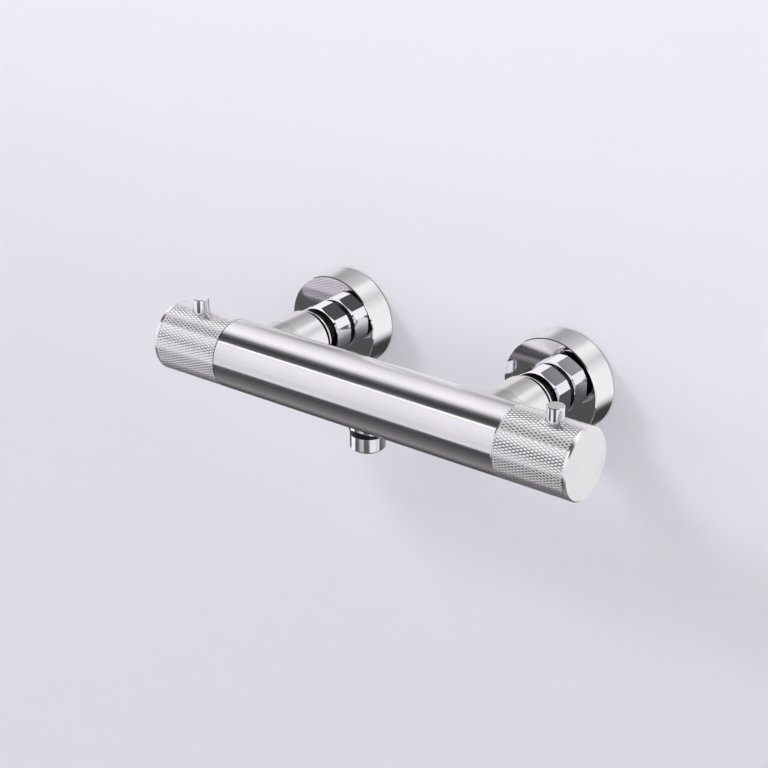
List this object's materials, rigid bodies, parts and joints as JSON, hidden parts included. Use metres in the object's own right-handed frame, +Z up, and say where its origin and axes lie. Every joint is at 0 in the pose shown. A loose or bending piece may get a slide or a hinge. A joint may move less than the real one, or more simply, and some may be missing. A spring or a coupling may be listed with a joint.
{
  "type": "thermostatic shower valve",
  "caption": "Wall-mounted bar shower mixer: satin tubular body, knurled temperature and flow handles with push buttons, hexagon union nuts, round wall flanges and a bottom outlet.",
  "frame": {"origin": "on the finished wall face, midway between the two supply threads", "axes": "+X along the bar towards the flow handle, +Y into the wall, +Z up"},
  "size_m": [0.2764, 0.12, 0.0611],
  "materials": {
    "satin_steel": "satin brushed, horizontal grain",
    "knurled_steel": "satin with fine diamond knurl",
    "end_cap_steel": "fine satin face with polished rim",
    "polished_chrome": "mirror polished",
    "raw_brass": "machined",
    "spring_steel": "drawn wire",
    "screen_steel": "etched sheet",
    "wax_copper": "drawn cup",
    "white_plastic": "moulded",
    "black_plastic": "moulded",
    "grey_plastic": "moulded",
    "black_rubber": "moulded",
    "white_ceramic": "lapped"
  },
  "bodies": {
    "fixed_body": {"valve_body": "satin_steel", "waterway_insert": "black_plastic", "outlet_nipple": "polished_chrome", "outlet_seal_ring": "black_rubber", "thermostat_retaining_nut": "raw_brass", "thermostat_housing": "grey_plastic", "thermostat_seal_rings": "black_rubber", "thermostat_port_seal": "black_rubber", "return_spring": "spring_steel", "flow_retaining_nut": "raw_brass", "flow_cartridge_housing": "white_plastic", "flow_cartridge_seal_rings": "black_rubber", "flow_port_seal": "black_rubber", "flow_disc_seal": "black_rubber", "fixed_ceramic_disc": "white_ceramic", "temperature_stop_ring": "black_plastic", "flow_stop_ring": "black_plastic", "hot_wall_union": "polished_chrome", "hot_wall_flange": "polished_chrome", "hot_flange_seal": "black_rubber", "hot_filter_washer": "black_rubber", "hot_filter_screen": "screen_steel", "hot_inlet_spigot": "polished_chrome", "hot_spigot_seal_ring": "black_rubber", "hot_check_valve_cage": "white_plastic", "hot_check_valve_spring": "spring_steel", "cold_wall_union": "polished_chrome", "cold_wall_flange": "polished_chrome", "cold_flange_seal": "black_rubber", "cold_filter_washer": "black_rubber", "cold_filter_screen": "screen_steel", "cold_inlet_spigot": "polished_chrome", "cold_spigot_seal_ring": "black_rubber", "cold_check_valve_cage": "white_plastic", "cold_check_valve_spring": "spring_steel"},
    "temperature_handle": {"temperature_handle_sleeve": "knurled_steel", "temperature_handle_end_cap": "end_cap_steel", "temperature_handle_hub": "black_plastic", "temperature_hub_screw": "spring_steel", "temperature_spindle": "raw_brass", "temperature_spindle_seal_ring": "black_rubber", "temperature_button_spring": "spring_steel"},
    "flow_handle": {"flow_handle_sleeve": "knurled_steel", "flow_handle_end_cap": "end_cap_steel", "flow_handle_hub": "black_plastic", "flow_hub_screw": "spring_steel", "flow_spindle": "raw_brass", "flow_spindle_seal_ring": "black_rubber", "flow_button_spring": "spring_steel", "moving_ceramic_disc": "white_ceramic"},
    "temperature_button": {"temperature_push_button": "polished_chrome"},
    "flow_button": {"flow_push_button": "polished_chrome"},
    "regulator": {"regulating_nut": "raw_brass", "overtravel_spring": "spring_steel", "wax_element": "wax_copper", "mixing_shuttle": "black_plastic"},
    "hot_check_poppet": {"hot_check_valve_poppet": "grey_plastic"},
    "cold_check_poppet": {"cold_check_valve_poppet": "grey_plastic"},
    "hot_nut": {"hot_union_nut": "polished_chrome"},
    "cold_nut": {"cold_union_nut": "polished_chrome"}
  },
  "joints": [
    {"name": "temperature_turn", "type": "hinge", "parent": "fixed_body", "child": "temperature_handle", "pos_m": [-0.115, -0.084, 0.01], "axis": [-1, 0, 0], "range_deg": [-130, 70]},
    {"name": "flow_turn", "type": "hinge", "parent": "fixed_body", "child": "flow_handle", "pos_m": [0.115, -0.084, 0.01], "axis": [1, 0, 0], "range_deg": [0, 90]},
    {"name": "regulator_travel", "type": "slide", "parent": "fixed_body", "child": "regulator", "axis": [1, 0, 0], "range_m": [-0.00055, 0.0003], "deforming": ["return_spring"]},
    {"name": "temperature_button_press", "type": "slide", "parent": "temperature_handle", "child": "temperature_button", "axis": [0, 0, -1], "range_m": [0, 0.003], "stiffness_N_per_m": 500, "springref_m": -0.004, "deforming": ["temperature_button_spring"]},
    {"name": "flow_button_press", "type": "slide", "parent": "flow_handle", "child": "flow_button", "axis": [0, 0, -1], "range_m": [0, 0.003], "stiffness_N_per_m": 500, "springref_m": -0.004, "deforming": ["flow_button_spring"]},
    {"name": "hot_check_open", "type": "slide", "parent": "fixed_body", "child": "hot_check_poppet", "axis": [0, -1, 0], "range_m": [0, 0.0025], "stiffness_N_per_m": 60, "springref_m": -0.003, "deforming": ["hot_check_valve_spring"]},
    {"name": "hot_nut_turn", "type": "hinge", "parent": "fixed_body", "child": "hot_nut", "pos_m": [-0.075, -0.02725, 0.01], "axis": [0, 1, 0], "continuous": true},
    {"name": "cold_check_open", "type": "slide", "parent": "fixed_body", "child": "cold_check_poppet", "axis": [0, -1, 0], "range_m": [0, 0.0025], "stiffness_N_per_m": 60, "springref_m": -0.003, "deforming": ["cold_check_valve_spring"]},
    {"name": "cold_nut_turn", "type": "hinge", "parent": "fixed_body", "child": "cold_nut", "pos_m": [0.075, -0.02725, 0.01], "axis": [0, 1, 0], "continuous": true}
  ],
  "couplings": [
    {"joint": "regulator_travel", "follows": "temperature_turn", "m_per_rad": 0.00023873}
  ]
}
